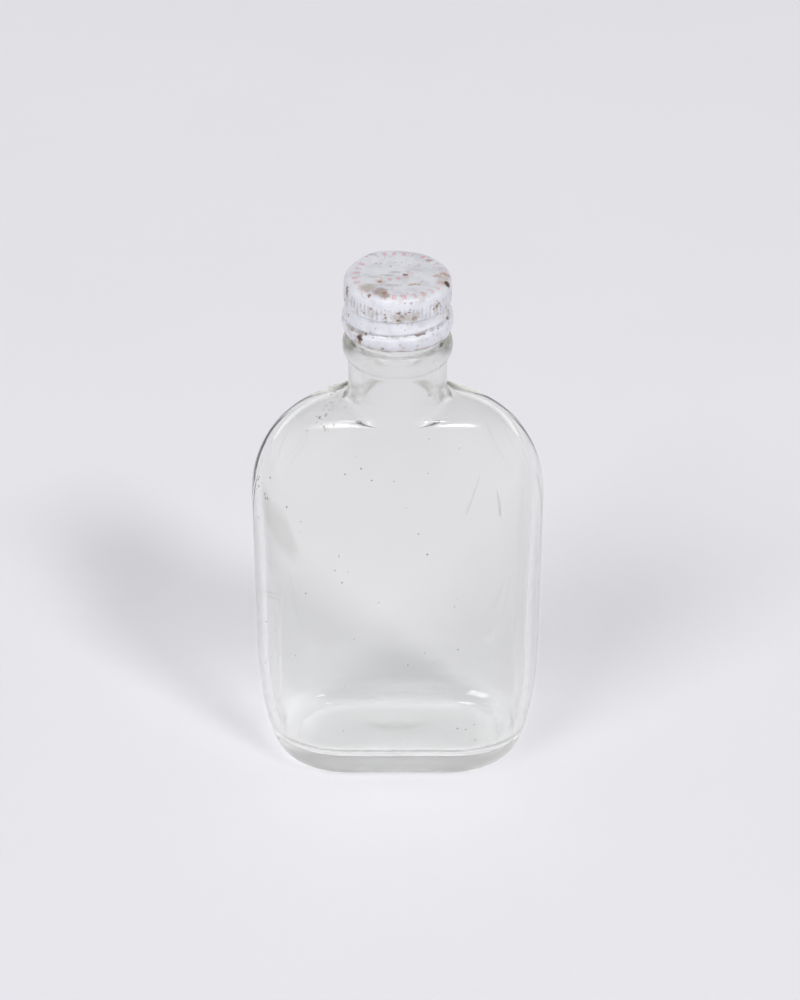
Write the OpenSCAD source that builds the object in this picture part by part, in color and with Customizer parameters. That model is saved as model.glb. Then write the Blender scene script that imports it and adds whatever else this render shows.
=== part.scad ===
// Pocket-flask medicine bottle: a moulded glass body with a screw finish, and a
// knurled tinplate cap with a cork wad and a facing disc inside it.
// Origin: middle of the base, on the surface it stands on. +Z up, front panel towards -Y.

/* [Body] */
// Width of the body across its rounded ends
body_w = 80; // [66:1:100]
// Depth of the body from front panel to back panel
body_d = 36; // [30:1:46]
// Width of the flat part of the front and back panels
panel_w = 33; // [16:1:40]
// Roundness of the ends in plan: 2 is an ellipse, more is squarer
end_power = 2.3; // [2:0.1:4]
// Height at which the rounded shoulders begin
shoulder_z = 85; // [60:1:110]
// Height of the shoulder curve
shoulder_h = 32.5; // [24:0.5:42]
// Roundness of the shoulder curve: 2 is an ellipse, more is squarer
shoulder_power = 2.15; // [2:0.05:3]
// Height over which the panels slope in towards the neck
slope_h = 45; // [30:1:60]
// Radius of the blend from shoulder to neck
neck_blend_r = 3.2; // [2:0.1:6]
// Height of the curve that draws the ends in towards the base
taper_h = 36; // [20:1:50]
// How far each end is drawn in at the base
taper_in = 9.4; // [2:0.2:12]
// Radius of the heel, all round the base
heel_r = 6; // [3:0.5:8]
// Width of the rim that the bottle stands on
rim_w = 4; // [2:0.5:6]
// Depth of the hollow under the base
pushup_h = 0.8; // [0.3:0.1:2]

/* [Glass] */
// Thickness of the rounded ends
end_wall = 2.8; // [2:0.1:4]
// Thickness of the front and back panels
panel_wall = 2.5; // [2:0.1:4]
// Thickness of the shoulders at the top
shoulder_wall = 3; // [2:0.1:4.5]
// Thickness of the base
base_t = 6; // [4:0.5:9]
// Radius of the corner inside, where the walls meet the base
inner_heel_r = 6; // [3:0.5:8]

/* [Neck and finish] */
// Outside diameter of the neck
neck_d = 26.2; // [24:0.1:28]
// Height of the plain neck above the shoulder blend
neck_h = 10.6; // [5:0.1:16]
// Diameter of the bore
bore_d = 19; // [15:0.5:20]
// Diameter of the collar below the cap
collar_d = 29.1; // [27:0.1:33]
// Height of the collar
collar_h = 6; // [4:0.1:9]
// Diameter at the root of the screw thread
root_d = 24.4; // [22:0.1:26]
// Height of the threaded finish above the collar
finish_h = 15.9; // [14.5:0.1:18]
// How far the screw thread stands out of its root
thread_out = 0.85; // [0.6:0.05:1.2]
// Height of one thread ridge at its root
thread_w = 2; // [1.5:0.1:2.4]
// Rise of the thread in one turn
pitch = 4.2; // [3.8:0.1:5]
// Length of the thread in turns
thread_turns = 1.5; // [1:0.25:1.75]
// Depth of the thread's upper end below the mouth
thread_depth = 3.5; // [2:0.1:4.5]

/* [Cap] */
// Thickness of the tinplate
tin_t = 0.25; // [0.2:0.05:0.4]
// Gap between the collar and the cap's bottom edge
skirt_gap = 2; // [1:0.1:3]
// Gap between the tinplate and the glass thread, and between the cap's thread and its root
cap_gap = 0.33; // [0.2:0.01:0.5]
// Radius of the cap's top corner
cap_corner_r = 2.2; // [1.5:0.1:2.5]
// Height of the knurled band
knurl_h = 4.6; // [3:0.1:5]
// Number of knurls
knurl_count = 72; // [36:1:90]
// How far the knurled band stands out beyond the waist below it
knurl_out = 0.37; // [0.2:0.01:0.6]
// How far the skirt swells out beyond the waist above it
swell_out = 0.97; // [0.6:0.01:1.4]
// Height of the widest part of the skirt above its bottom edge
swell_h = 3; // [2:0.1:4]
// How far the bottom edge is drawn in from the widest part
edge_in = 0.5; // [0.2:0.05:0.8]
// Height of the thread ridge rolled into the cap
ridge_w = 1.4; // [1:0.1:1.6]
// Length of the cap's thread ridge in turns
ridge_turns = 1.1; // [0.75:0.05:1.2]

/* [Liner] */
// Thickness of the cork wad
wad_t = 1.1; // [0.8:0.1:2]
// Thickness of the facing disc
facing_t = 0.15; // [0.1:0.05:0.3]
// Gap between the wad's edge and the tinplate
liner_gap = 0.1; // [0.05:0.05:0.3]

/* [Hidden] */
$fn = 96;

// Steps of the faceted body: points round each ring, and rings along each curve
round_steps = 48;
heel_steps = 5;
taper_steps = 6;
side_steps = 3;
shoulder_steps = 12;
blend_steps = 3;
helix_step = 7.5;     // degrees between two sections of a thread
fade_steps = 4;       // sections over which a thread's end grows to its full height

seat_gap = 0.03;      // between the liner and the mouth below it and the tinplate above it
ledge = 0.12;         // how far the body's top ring stands outside the neck tube
sink = 1;             // how deep the neck tube reaches into the body
pushup_in = 2;        // width of the slope from the standing rim to the hollow under the base
knurl_r = 0.22;       // radius of one knurl
knurl_gap = 0.2;      // plain tinplate between the knurls and each edge of their band
thread_start = 64;    // direction, in degrees, in which both threads begin

// Heights
shoulder_top_z = shoulder_z + shoulder_h;
neck_z = shoulder_top_z + neck_blend_r;
slope_z = neck_z - slope_h;
collar_z = neck_z + neck_h;
collar_top_z = collar_z + collar_h;
mouth_z = collar_top_z + finish_h;
facing_z = mouth_z + seat_gap;
wad_z = facing_z + facing_t;
cap_top_z = wad_z + wad_t + seat_gap + tin_t;
cap_z = collar_top_z + skirt_gap;
knurl_top_z = cap_top_z - cap_corner_r;
knurl_z = knurl_top_z - knurl_h;
swell_z = cap_z + swell_h;
thread_z = mouth_z - thread_depth - pitch * thread_turns;
ridge_z = thread_z - pitch / 2;

// Radii
neck_r = neck_d / 2;
bore_r = bore_d / 2;
root_r = root_d / 2;
lip_r = min(0.9, (root_r - bore_r) / 3);   // rounding of the mouth, limited by its wall
thread_r = root_r + thread_out;
waist_r = thread_r + cap_gap + tin_t;
cap_r = waist_r + knurl_out;
swell_r = waist_r + swell_out;
ridge_tip_r = root_r + cap_gap;
liner_corner_r = cap_corner_r - tin_t - liner_gap;
liner_r = cap_r - tin_t - liner_gap;

function smooth(t) = let (u = max(0, min(1, t))) u * u * (3 - 2 * u);
function mix(a, b, t) = a + (b - a) * t;
function power_arc(x, p) = pow(abs(x), 2 / p);
function reversed(list) = [for (i = [len(list) - 1 : -1 : 0]) list[i]];
function arc(cx, cz, rx, rz, a0, a1, steps) = [for (k = [0 : steps])
    let (a = mix(a0, a1, k / steps)) [cx + rx * cos(a), cz + rz * sin(a)]];

// ---- skins: closed surfaces over a list of rings, each with the same number of points --

function skin_faces(n, last) = concat(
    [[for (i = [0 : n - 1]) i]],
    [for (k = [0 : last - 1], i = [0 : n - 1])
        let (p = k * n + i, q = k * n + (i + 1) % n) [p, p + n, q]],
    [for (k = [0 : last - 1], i = [0 : n - 1])
        let (p = k * n + i, q = k * n + (i + 1) % n) [p + n, q + n, q]],
    [[for (i = [n - 1 : -1 : 0]) last * n + i]]
);

module skin(rings, inside_out = false) {
    faces = skin_faces(len(rings[0]), len(rings) - 1);
    polyhedron(
        points = [for (r = rings) each r],
        faces = inside_out ? [for (f = faces) reversed(f)] : faces,
        convexity = 6
    );
}

// ---- the body: rings of [height, half width, half depth, how far it is an ellipse] -----

// One point of a ring: a flat panel between two rounded ends, or an ellipse where blend is 1
function plan_point(i, a, b, blend) =
    let (
        quarter = round_steps / 4,
        t = 360 * i / round_steps,
        from_end = quarter - abs(i % (2 * quarter) - quarter),
        on_panel = from_end == quarter,
        corner = on_panel ? 90 : 90 * from_end / (quarter - 1),
        flat_x = panel_w / body_w * a,
        x = on_panel ? 0 : flat_x + (a - flat_x) * power_arc(cos(corner), end_power),
        y = b * power_arc(sin(corner), end_power)
    )
    [mix(sign(cos(t)) * x, a * cos(t), blend), mix(sign(sin(t)) * y, b * sin(t), blend)];

function ring(r) = [for (i = [0 : round_steps - 1])
    let (p = plan_point(i, r[1], r[2], r[3])) [p[0], p[1], r[0]]];

// Half width of the body below the shoulder: the ends are drawn in towards the base
function end_x(z, half) = z >= taper_h ? half
    : half - taper_in * (1 - sqrt(1 - pow(1 - z / taper_h, 2)));

// Half depth of the body, which slopes in to the neck's radius
function panel_y(z, half, top_r) = mix(half, top_r, smooth((z - slope_z) / slope_h));

// The heel, the drawn-in ends and the straight sides, from floor_z up to the shoulder
function side_rings(half, top_r, floor_z, heel) = concat(
    [for (k = [0 : heel_steps])
        let (
            turn = 90 * k / heel_steps,
            z = floor_z + heel * (1 - cos(turn)),
            drawn = heel * (1 - sin(turn))
        )
        [z, end_x(z, half[0]) - drawn, half[1] - drawn, 0]],
    [for (k = [1 : taper_steps])
        let (z = mix(floor_z + heel, taper_h, k / taper_steps))
        [z, end_x(z, half[0]), panel_y(z, half[1], top_r), 0]],
    [for (k = [1 : side_steps])
        let (z = mix(taper_h, shoulder_z, k / side_steps))
        [z, half[0], panel_y(z, half[1], top_r), 0]]
);

// The shoulder up to top_z, and its blend into the neck
function shoulder_rings(half, top_r, top_z) = let (blend_r = neck_z - top_z) concat(
    [for (k = [1 : shoulder_steps])
        let (
            turn = 90 * k / shoulder_steps,
            rise = power_arc(sin(turn), shoulder_power),
            z = mix(shoulder_z, top_z, rise),
            x = mix(top_r + blend_r, half[0], power_arc(cos(turn), shoulder_power))
        )
        [z, x, panel_y(z, half[1], top_r), smooth(rise)]],
    [for (k = [1 : blend_steps])
        let (
            turn = 90 * k / blend_steps,
            z = top_z + blend_r * (1 - cos(turn)),
            x = top_r + blend_r * (1 - sin(turn))
        )
        [z, x, panel_y(z, half[1], top_r), 1]]
);

outer_half = [body_w / 2, body_d / 2];
inner_half = [body_w / 2 - end_wall, body_d / 2 - panel_wall];
outer_top_r = neck_r + ledge;
inner_top_r = bore_r + ledge;
rim_half = [end_x(0, outer_half[0]) - heel_r - rim_w, outer_half[1] - heel_r - rim_w];

body_rings = concat(
    [[pushup_h, rim_half[0] - pushup_in, rim_half[1] - pushup_in, 0],
     [0, rim_half[0], rim_half[1], 0]],
    side_rings(outer_half, outer_top_r, 0, heel_r),
    shoulder_rings(outer_half, outer_top_r, shoulder_top_z),
    reversed(concat(
        side_rings(inner_half, inner_top_r, base_t, inner_heel_r),
        shoulder_rings(inner_half, inner_top_r, shoulder_top_z - shoulder_wall)))
);

// Neck, collar and finish, from the bore outwards
module neck() {
    rotate_extrude()
        polygon(concat(
            [[bore_r, neck_z - sink], [neck_r, neck_z - sink]],
            arc(neck_r, collar_z + collar_h / 2, collar_d / 2 - neck_r, collar_h / 2, -90, 60, 14),
            [[root_r, collar_top_z]],
            arc(root_r - lip_r, mouth_z - lip_r, lip_r, lip_r, 0, 90, 6),
            arc(bore_r + lip_r, mouth_z - lip_r, lip_r, lip_r, 90, 180, 6)
        ));
}

// ---- threads: a helical ridge whose two ends taper away --------------------------------

// foot_r gives the radius at the foot of the ridge for a height
module ridge(foot_r, tip_r, width, turns, z0) {
    steps = round(360 * turns / helix_step);
    sections = [for (k = [0 : steps])
        let (
            z = z0 + pitch * k * helix_step / 360,
            grown = min(1, (min(k, steps - k) + 0.4) / fade_steps),
            low = z - width / 2,
            high = z + width / 2,
            outline = [[foot_r(low), low], [mix(foot_r(low), tip_r, grown), z - width / 4],
                [mix(foot_r(high), tip_r, grown), z + width / 4], [foot_r(high), high],
                [foot_r(z), z]]
        )
        [for (p = outline) [p[0] * cos(k * helix_step), p[0] * sin(k * helix_step), p[1]]]];
    rotate([0, 0, thread_start])
        skin(sections, inside_out = tip_r > foot_r(z0));
}

glass_foot = function (z) root_r - thread_out / 3;
tin_foot = function (z) skirt_r(z) + tin_t;

module glass_bottle() {
    color([0.86, 0.89, 0.87, 0.45]) {
        skin([for (r = body_rings) ring(r)]);
        neck();
        ridge(glass_foot, thread_r, thread_w, thread_turns, thread_z);
    }
}

// ---- cap -------------------------------------------------------------------------------

// Outside radius of the skirt: the knurled band's foot, a waist, a swelling and the edge
function skirt_r(z) =
    z >= knurl_z ? cap_r
    : z >= swell_z ? mix(swell_r, waist_r, smooth(1.2 * (z - swell_z) / (knurl_z - swell_z)))
    : mix(swell_r, swell_r - edge_in, pow((swell_z - z) / swell_h, 2));

// Outline of the cap from the height low_z to the middle of its top, moved in by t
function cap_outline(t, low_z) = concat(
    [[0, low_z], [skirt_r(cap_z) - t, low_z]],
    [for (k = [1 : 4]) let (z = mix(cap_z, swell_z, k / 4)) [skirt_r(z) - t, z]],
    [for (k = [1 : 8]) let (z = mix(swell_z, knurl_z, k / 8.2)) [skirt_r(z) - t, z]],
    arc(cap_r - cap_corner_r, knurl_top_z, cap_corner_r - t, cap_corner_r - t, 0, 90, 8),
    [[0, cap_top_z - t]]
);

module knurls() {
    for (k = [0 : knurl_count - 1])
        rotate([0, 0, 360 * k / knurl_count])
            translate([cap_r - knurl_r / 2, 0, knurl_z + knurl_gap])
                cylinder(r = knurl_r, h = knurl_h - 2 * knurl_gap, $fn = 16);
}

module cap_shell() {
    color([0.86, 0.87, 0.89])
        difference() {
            union() {
                rotate_extrude()
                    polygon(cap_outline(0, cap_z));
                knurls();
            }
            difference() {
                rotate_extrude()
                    polygon(cap_outline(tin_t, cap_z - sink));
                ridge(tin_foot, ridge_tip_r, ridge_w, ridge_turns, ridge_z);
            }
        }
}

// ---- liner -----------------------------------------------------------------------------

// The wad's upper edge is rounded to sit in the cap's corner
module liner_wad() {
    corner_x = liner_r - liner_corner_r;
    start = asin((wad_z - knurl_top_z) / liner_corner_r);
    stop = asin((wad_z + wad_t - knurl_top_z - liner_gap + seat_gap) / liner_corner_r);
    color([0.72, 0.56, 0.36])
        rotate_extrude()
            polygon(concat(
                [[0, wad_z]],
                arc(corner_x, knurl_top_z, liner_corner_r, liner_corner_r, start, stop, 6),
                [[0, wad_z + wad_t]]));
}

module liner_facing() {
    color([0.85, 0.83, 0.76])
        translate([0, 0, facing_z])
            cylinder(r = bore_r + (root_r - bore_r) * 0.9, h = facing_t);
}

glass_bottle();
cap_shell();
liner_wad();
liner_facing();
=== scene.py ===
"""Looks of a flat, clear glass medicine bottle with a white tin screw cap gone rusty in spots.

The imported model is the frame. Each piece is grown ring by ring from a circle, so that its
outline stays a short list of rings, and each finish is a small class with its own material.
"""

import logging
import math
from dataclasses import dataclass, field
from enum import Enum
from typing import Callable, Iterable, Sequence

import bmesh
import bpy
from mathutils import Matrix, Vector, noise


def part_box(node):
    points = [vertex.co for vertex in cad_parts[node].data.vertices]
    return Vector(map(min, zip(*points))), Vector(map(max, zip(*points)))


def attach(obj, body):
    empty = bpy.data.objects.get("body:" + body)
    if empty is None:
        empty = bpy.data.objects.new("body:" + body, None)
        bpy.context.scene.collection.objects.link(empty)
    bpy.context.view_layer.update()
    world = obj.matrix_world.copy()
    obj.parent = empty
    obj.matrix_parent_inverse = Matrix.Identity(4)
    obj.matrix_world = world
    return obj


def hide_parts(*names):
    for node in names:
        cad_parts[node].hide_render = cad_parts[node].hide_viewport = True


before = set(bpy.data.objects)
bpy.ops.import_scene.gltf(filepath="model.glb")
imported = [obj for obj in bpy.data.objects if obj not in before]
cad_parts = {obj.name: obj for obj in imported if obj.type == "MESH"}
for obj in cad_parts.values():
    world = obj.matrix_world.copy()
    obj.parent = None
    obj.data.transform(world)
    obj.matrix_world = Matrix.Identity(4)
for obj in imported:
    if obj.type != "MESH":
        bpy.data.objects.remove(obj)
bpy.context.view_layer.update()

MM = 0.001

Colour = tuple[float, float, float]
Place = Callable[[int], Vector]
Input = "bpy.types.NodeSocket | float | Sequence[float]"

log = logging.getLogger("medicine_bottle")


# ---- small sums ----------------------------------------------------------------------------


def mix(a: float, b: float, t: float) -> float:
    """Goes from a to b as t goes from 0 to 1."""
    return a + (b - a) * t


def smooth(t: float) -> float:
    """Eases from 0 to 1 as t goes from 0 to 1."""
    u = min(max(t, 0.0), 1.0)
    return u * u * (3.0 - 2.0 * u)


def power_arc(x: float, power: float) -> float:
    """One coordinate of a squared-off arc; a power of 2 gives a round one."""
    return abs(x) ** (2.0 / power)


def bump(x: float, width: float) -> float:
    """A smooth hump, 1 at x = 0 and 0 from x = width on."""
    return smooth(1.0 - abs(x) / width)


def polar(radius: float, turn: float, z: float) -> Vector:
    """A point at a radius and a height, turned round Z from +X."""
    return Vector((radius * math.cos(turn), radius * math.sin(turn), z))


def unit_steps(count: int) -> list[float]:
    """The shares 1/count, 2/count ... 1."""
    return [k / count for k in range(1, count + 1)]


# ---- growing a skin ------------------------------------------------------------------------


class RingSkin:
    """A closed skin that is grown, ring by ring, from a circle."""

    def __init__(self, points_round: int, marks: Sequence[str] = ()) -> None:
        """Starts the skin as one circle.

        Args:
            points_round: how many points each ring has.
            marks: names of the numbers that its points carry for the material.
        """
        self.bm = bmesh.new()
        self.fans: list[bmesh.types.BMFace] = []
        self.marks = [self.bm.verts.layers.float.new(name) for name in marks]
        bmesh.ops.create_circle(self.bm, cap_ends=False, segments=points_round, radius=1.0)
        self.bm.verts.ensure_lookup_table()
        self.ring = list(self.bm.verts)
        self.edges = list(self.bm.edges)
        self.started = False

    def add(self, place: Place) -> list[bmesh.types.BMVert]:
        """Extrudes the last ring and puts the new one in its place.

        Args:
            place: gives a point of the ring from its number.

        Returns:
            The points of the new ring, in order.
        """
        if self.started:
            made = bmesh.ops.extrude_edge_only(self.bm, edges=self.edges)["geom"]
            fresh = {g for g in made if isinstance(g, bmesh.types.BMVert)}
            self.ring = [self._grown_from(v, fresh) for v in self.ring]
            self.edges = [
                g for g in made if isinstance(g, bmesh.types.BMEdge) and set(g.verts) <= fresh
            ]
        else:
            self.close()
            self.started = True
        for i, vert in enumerate(self.ring):
            vert.co = place(i)
        return self.ring

    def close(self) -> None:
        """Shuts the last ring with a fan of faces round its middle."""
        self.fans += bmesh.ops.contextual_create(self.bm, geom=self.edges)["faces"]

    @staticmethod
    def _grown_from(vert: bmesh.types.BMVert, fresh: set) -> bmesh.types.BMVert:
        """The new point that an old one was extruded into."""
        return next(e.other_vert(vert) for e in vert.link_edges if e.other_vert(vert) in fresh)

    def finish(self, name: str, body: str, slot: str, node: str) -> bpy.types.Object:
        """Closes the skin and makes it a piece that stands for a CAD node.

        Args:
            name: the piece's name.
            body: the CAD body that it rides on.
            slot: the record's material slot; not used.
            node: the CAD node that it replaces.

        Returns:
            The piece, without a material.
        """
        self.close()
        bmesh.ops.poke(self.bm, faces=self.fans)
        bmesh.ops.recalc_face_normals(self.bm, faces=self.bm.faces)
        for face in self.bm.faces:
            face.smooth = True
        mesh = bpy.data.meshes.new(name)
        self.bm.to_mesh(mesh)
        self.bm.free()
        piece = bpy.data.objects.new(name, mesh)
        bpy.context.scene.collection.objects.link(piece)
        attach(piece, body)
        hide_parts(node)
        log.info("%s: %d faces", name, len(mesh.polygons))
        return piece


# ---- node trees ----------------------------------------------------------------------------


class Tree:
    """Adds nodes to one tree and joins them up."""

    def __init__(self, tree: bpy.types.NodeTree) -> None:
        """Takes the tree to add to."""
        self.tree = tree

    def node(self, kind: str, **settings: object) -> bpy.types.Node:
        """Adds a node and gives it its settings.

        Args:
            kind: the node's type, without the leading "ShaderNode".
            settings: values of the node's own properties.

        Returns:
            The new node.
        """
        made = self.tree.nodes.new("ShaderNode" + kind)
        for key, value in settings.items():
            setattr(made, key, value)
        return made

    def feed(self, socket: bpy.types.NodeSocket, value: Input) -> None:
        """Joins a socket to another one, or sets its plain value."""
        if isinstance(value, bpy.types.NodeSocket):
            self.tree.links.new(value, socket)
        elif value is not None:
            socket.default_value = value

    def math(self, operation: str, *values: Input, clamp: bool = False) -> bpy.types.NodeSocket:
        """A sum of one to three numbers."""
        made = self.node("Math", operation=operation, use_clamp=clamp)
        for socket, value in zip(made.inputs, values):
            self.feed(socket, value)
        return made.outputs[0]

    def vector(self, operation: str, *values: Input) -> bpy.types.NodeSocket:
        """A sum of vectors; LENGTH and DISTANCE give a number."""
        made = self.node("VectorMath", operation=operation)
        for socket, value in zip(made.inputs, values):
            self.feed(socket, value)
        return made.outputs["Value" if operation in ("LENGTH", "DISTANCE") else "Vector"]

    def span(self, value: Input, low: Input, high: Input) -> bpy.types.NodeSocket:
        """Eases from 0 at low to 1 at high; low may be the larger."""
        made = self.node("MapRange", interpolation_type="SMOOTHSTEP")
        for socket, number in zip(made.inputs, (value, low, high, 0.0, 1.0)):
            self.feed(socket, number)
        return made.outputs[0]

    def noise(self, where: Input, scale: Input, detail: float = 3.0) -> bpy.types.NodeSocket:
        """Cloudy noise from 0 to 1."""
        made = self.node("TexNoise")
        self.feed(made.inputs["Vector"], where)
        self.feed(made.inputs["Scale"], scale)
        made.inputs["Detail"].default_value = detail
        return made.outputs["Fac"]

    def blend(self, share: Input, a: Input, b: Input) -> bpy.types.NodeSocket:
        """A colour that goes from a to b."""
        made = self.node("Mix", data_type="RGBA")
        ends = [s for s in made.inputs if s.type == "RGBA"]
        self.feed(made.inputs["Factor"], share)
        for socket, value in zip(ends, (a, b)):
            self.feed(socket, (*value, 1.0) if isinstance(value, tuple) else value)
        return next(s for s in made.outputs if s.type == "RGBA")

    def slide(self, share: Input, a: Input, b: Input) -> bpy.types.NodeSocket:
        """A number that goes from a to b."""
        made = self.node("Mix", data_type="FLOAT")
        numbers = [s for s in made.inputs if s.type == "VALUE"]
        for socket, value in zip(numbers, (share, a, b)):
            self.feed(socket, value)
        return made.outputs[0]

    def most(self, values: Iterable[Input]) -> bpy.types.NodeSocket:
        """The largest of some numbers."""
        total, *rest = values
        for value in rest:
            total = self.math("MAXIMUM", total, value)
        return total

    def use(self, group: "Effect", **values: Input) -> bpy.types.NodeSocket:
        """Places a shared effect with its own values and gives its output.

        Args:
            group: which effect.
            values: what its named inputs are, with _ for a space.

        Returns:
            The effect's only output.
        """
        made = self.node("Group", node_tree=group.tree())
        for key, value in values.items():
            self.feed(made.inputs[key.replace("_", " ")], value)
        return made.outputs[0]


class Effect(Enum):
    """Effects that more than one finish uses. Each gives one number over the surface."""

    PATCH = "ragged patch"
    SPECKS = "specks"
    SCUFF = "scuffed edge"
    GRAIN = "fine grain"

    def tree(self) -> bpy.types.NodeTree:
        """The effect's node group, which is made the first time it is asked for."""
        made = bpy.data.node_groups.get(self.value)
        if made is None:
            made = bpy.data.node_groups.new(self.value, "ShaderNodeTree")
            {
                Effect.PATCH: self._patch,
                Effect.SPECKS: self._specks,
                Effect.SCUFF: self._scuff,
                Effect.GRAIN: self._grain,
            }[self](made)
        return made

    @staticmethod
    def _open(tree: bpy.types.NodeTree, out: str, **inputs: float) -> tuple[Tree, dict, Callable]:
        """Gives a group its sockets.

        Args:
            tree: the empty group.
            out: name of its output.
            inputs: its inputs and their values, with _ for a space; None makes a vector.

        Returns:
            The tree to add to, its inputs by name, and what takes the result.
        """
        for key, value in inputs.items():
            kind = "NodeSocketVector" if value is None else "NodeSocketFloat"
            made = tree.interface.new_socket(key.replace("_", " "), in_out="INPUT", socket_type=kind)
            if value is not None:
                made.default_value = value
        tree.interface.new_socket(out, in_out="OUTPUT", socket_type="NodeSocketFloat")
        nodes = Tree(tree)
        start = tree.nodes.new("NodeGroupInput")
        stop = tree.nodes.new("NodeGroupOutput")
        named = {key: start.outputs[key.replace("_", " ")] for key in inputs}
        return nodes, named, lambda result: nodes.feed(stop.inputs[0], result)

    @staticmethod
    def _patch(tree: bpy.types.NodeTree) -> None:
        """A patch round a centre, tilted about Y, with an edge broken up by noise."""
        n, i, done = Effect._open(
            tree, "Mask", Position=None, Centre=None, Radii=None, Tilt=0.0, Raggedness=0.5, Grain=1500.0
        )
        turned = n.node("VectorRotate", rotation_type="Y_AXIS")
        n.feed(turned.inputs["Vector"], n.vector("SUBTRACT", i["Position"], i["Centre"]))
        n.feed(turned.inputs["Angle"], i["Tilt"])
        reach = n.vector("LENGTH", n.vector("DIVIDE", turned.outputs["Vector"], i["Radii"]))
        rough = n.math("SUBTRACT", n.noise(i["Position"], i["Grain"], 6.0), 0.5)
        push = n.math("MULTIPLY", rough, n.math("MULTIPLY", i["Raggedness"], 5.0))
        done(n.span(n.math("ADD", reach, push), 1.3, 0.6))

    @staticmethod
    def _specks(tree: bpy.types.NodeTree) -> None:
        """Small spots of uneven size, bunched by a slower noise."""
        n, i, done = Effect._open(
            tree, "Mask", Position=None, Scale=400.0, Size=0.2, Amount=0.5, Bunching=60.0
        )
        cells = n.node("TexVoronoi")
        n.feed(cells.inputs["Vector"], i["Position"])
        n.feed(cells.inputs["Scale"], i["Scale"])
        size = n.math("MULTIPLY", i["Size"], n.math("ADD", cells.outputs["Color"], 0.25))
        spot = n.span(cells.outputs["Distance"], size, n.math("MULTIPLY", size, 0.6))
        where = n.noise(i["Position"], i["Bunching"], 2.0)
        limit = n.math("SUBTRACT", 0.8, n.math("MULTIPLY", i["Amount"], 0.6))
        done(n.math("MULTIPLY", spot, n.span(where, limit, n.math("ADD", limit, 0.08))))

    @staticmethod
    def _scuff(tree: bpy.types.NodeTree) -> None:
        """Wear along edges, eaten into by noise."""
        n, i, done = Effect._open(tree, "Mask", Position=None, Edge=0.0, Amount=0.5, Scale=700.0)
        rough = n.noise(i["Position"], i["Scale"], 5.0)
        worn = n.math("ADD", n.math("MULTIPLY", i["Edge"], i["Amount"]), rough)
        done(n.span(worn, 0.82, 1.05))

    @staticmethod
    def _grain(tree: bpy.types.NodeTree) -> None:
        """Height of a fine, uneven surface: a slow wave with a fine one on it."""
        n, i, done = Effect._open(tree, "Height", Position=None, Scale=500.0, Fineness=5.0, Fine=0.4)
        slow = n.noise(i["Position"], i["Scale"], 2.0)
        fine = n.noise(i["Position"], n.math("MULTIPLY", i["Scale"], i["Fineness"]), 3.0)
        done(n.slide(i["Fine"], slow, fine))


def new_material(name: str) -> tuple[bpy.types.Material, Tree, bpy.types.Node, bpy.types.NodeSocket]:
    """Starts a material.

    Args:
        name: the material's name.

    Returns:
        The material, its tree, its Principled shader and the surface's Object coordinates.
    """
    material = bpy.data.materials.new(name)
    material.use_nodes = True
    nodes = Tree(material.node_tree)
    shader = material.node_tree.nodes["Principled BSDF"]
    return material, nodes, shader, nodes.node("TexCoord").outputs["Object"]


def relief(nodes: Tree, shader: bpy.types.Node, height: Input, depth: float) -> None:
    """Gives a shader a bump of a depth in metres.

    Args:
        nodes: the material's tree.
        shader: the shader whose Normal it feeds.
        height: from 0 to 1 over the surface.
        depth: how far 1 stands above 0.
    """
    made = nodes.node("Bump")
    made.inputs["Strength"].default_value = 1.0
    made.inputs["Distance"].default_value = depth
    nodes.feed(made.inputs["Height"], height)
    nodes.feed(shader.inputs["Normal"], made.outputs["Normal"])


# ---- finishes ------------------------------------------------------------------------------


@dataclass(frozen=True)
class Spot:
    """A patch on a surface: its middle and half sizes in millimetres, its tilt in degrees."""

    centre: tuple[float, float, float]
    radii: tuple[float, float, float]
    ragged: float = 0.35
    tilt: float = 0.0

    @staticmethod
    def on_top(x: float, y: float, wide: float, deep: float, ragged: float = 0.35) -> "Spot":
        """A patch on the flat top of the cap."""
        return Spot((x, y, 154.7), (wide, deep, 2.0), ragged)

    @staticmethod
    def on_skirt(degrees: float, z: float, wide: float, high: float, ragged: float = 0.35) -> "Spot":
        """A patch on the cap's skirt, in a direction from +X and at a height."""
        turn = math.radians(degrees)
        place = polar(14.2, turn, z)
        across = max(wide, 0.6)
        return Spot(tuple(place), (across, across, high), ragged)

    def mask(self, nodes: Tree, where: Input) -> bpy.types.NodeSocket:
        """The patch as a mask."""
        return nodes.use(
            Effect.PATCH,
            Position=where,
            Centre=tuple(c * MM for c in self.centre),
            Radii=tuple(r * MM for r in self.radii),
            Tilt=math.radians(self.tilt),
            Raggedness=self.ragged,
        )


class Rust(Enum):
    """Stages of rust and stain on the white lacquer, each with its colour and its strength."""

    DARK = ((0.075, 0.035, 0.022), 0.95)
    BROWN = ((0.21, 0.125, 0.08), 0.8)
    ORANGE = ((0.50, 0.19, 0.07), 0.8)
    TAN = ((0.50, 0.34, 0.22), 0.65)
    DULL = ((0.42, 0.33, 0.285), 0.8)
    STAIN = ((0.50, 0.47, 0.38), 0.5)
    GREY = ((0.34, 0.34, 0.34), 0.5)
    HALO = ((0.52, 0.43, 0.35), 0.45)

    @property
    def colour(self) -> Colour:
        """The tone's colour."""
        return self.value[0]

    @property
    def strength(self) -> float:
        """How far the tone covers the lacquer, from 0 to 1."""
        return self.value[1]

    @property
    def is_stain(self) -> bool:
        """Whether it only colours the lacquer and doesn't roughen it."""
        return self in (Rust.STAIN, Rust.GREY, Rust.HALO)


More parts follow.
